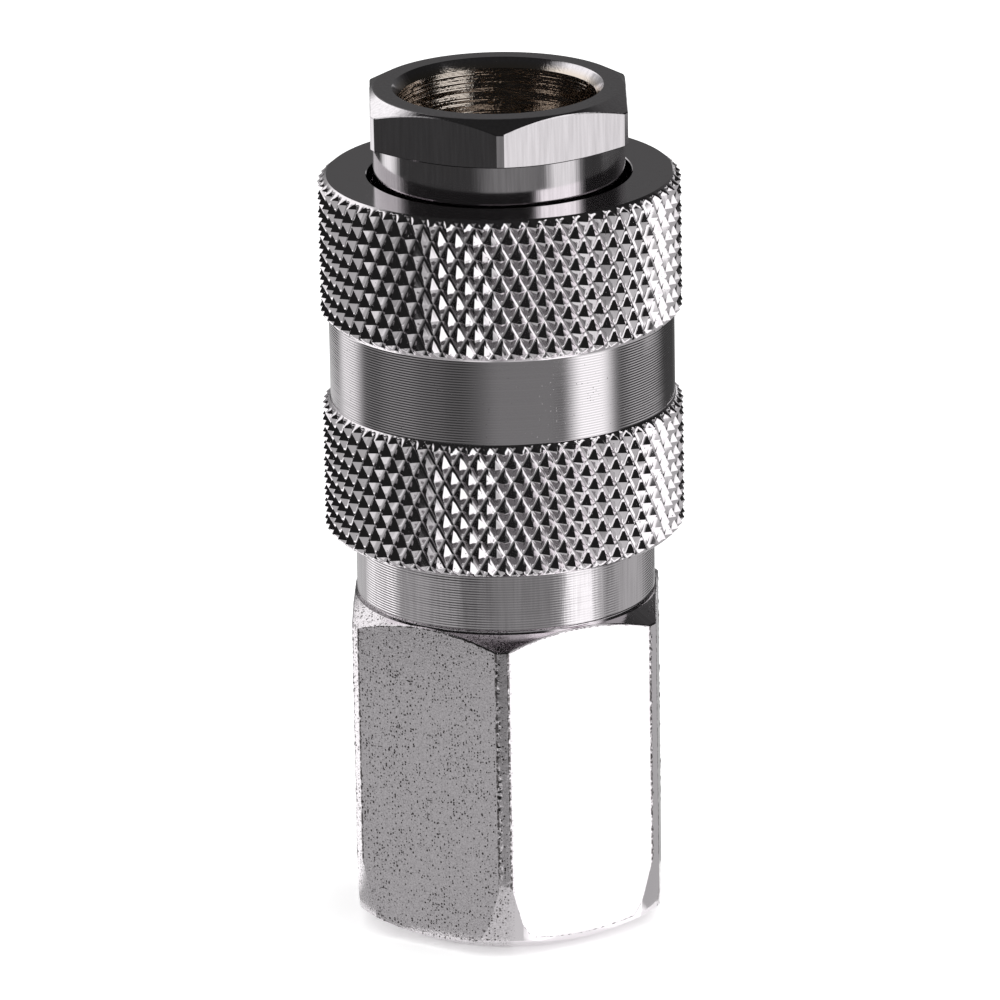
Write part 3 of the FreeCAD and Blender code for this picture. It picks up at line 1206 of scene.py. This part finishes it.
def pale_floor():
    """Wide white floor that keeps the object's soft shadow."""
    reach = 2.5
    corners = [(-reach, -reach, 0), (reach, -reach, 0), (reach, reach, 0), (-reach, reach, 0)]
    mesh = new_mesh("floor", corners, [(0, 1, 2, 3)])
    floor = bpy.data.objects.new("floor", mesh)
    bpy.context.scene.collection.objects.link(floor)
    made, nodes, links, shader = tree_of("floor_paper")
    shader.inputs["Base Color"].default_value = (0.97, 0.97, 0.97, 1)
    shader.inputs["Roughness"].default_value = 0.9
    shader.inputs["Specular IOR Level"].default_value = 0.1
    shader.inputs["Emission Color"].default_value = (0.3, 0.3, 0.3, 1)
    ray = nodes.new("ShaderNodeLightPath")
    seen = nodes.new("ShaderNodeMath")
    seen.operation = "ADD"
    links.new(ray.outputs["Is Camera Ray"], seen.inputs[0])
    links.new(ray.outputs["Is Glossy Ray"], seen.inputs[1])
    links.new(seen.outputs["Value"], shader.inputs["Emission Strength"])
    mesh.materials.append(made)


pale_floor()

world = bpy.data.worlds.new("studio")
bpy.context.scene.world = world
world.use_nodes = True
world.node_tree.nodes["Background"].inputs["Color"].default_value = (1, 1, 1, 1)
world.node_tree.nodes["Background"].inputs["Strength"].default_value = 1.0

lamp_target = Vector((0, 0, 0.03))
lamp_data = bpy.data.lights.new("key_light", "AREA")
lamp_data.energy = 0.5
lamp_data.size = 0.3
lamp = bpy.data.objects.new("key_light", lamp_data)
lamp.location = (0.35, -0.25, 0.5)
lamp.rotation_euler = (lamp_target - lamp.location).to_track_quat("-Z", "Y").to_euler()
lamp.visible_glossy = False
bpy.context.scene.collection.objects.link(lamp)


# Camera, from the outline of the object in the photograph

camera_distance = 0.6
camera_rise = math.radians(18.35)
camera_roll = math.radians(-0.975)
aim_height = 0.030
focal_pixels = 8658.66
image_pixels = 1000
aim_right_pixels = 4.655
aim_up_pixels = 4.733

camera_data = bpy.data.cameras.new("camera")
camera_data.sensor_width = 36.0
camera_data.lens = camera_data.sensor_width * focal_pixels / image_pixels
camera_data.shift_x = -aim_right_pixels / image_pixels
camera_data.shift_y = -aim_up_pixels / image_pixels
camera_data.clip_start = 0.01
camera_data.clip_end = 20.0
camera = bpy.data.objects.new("camera", camera_data)
bpy.context.scene.collection.objects.link(camera)
aim = Vector((0, 0, aim_height))
camera_place = aim + camera_distance * Vector((0, -math.cos(camera_rise), math.sin(camera_rise)))
look = (aim - camera_place).to_track_quat("-Z", "Y").to_matrix().to_4x4()
camera.matrix_world = Matrix.Translation(camera_place) @ look @ Matrix.Rotation(camera_roll, 4, "Z")
bpy.context.scene.camera = camera

bpy.context.scene.view_settings.view_transform = "Standard"
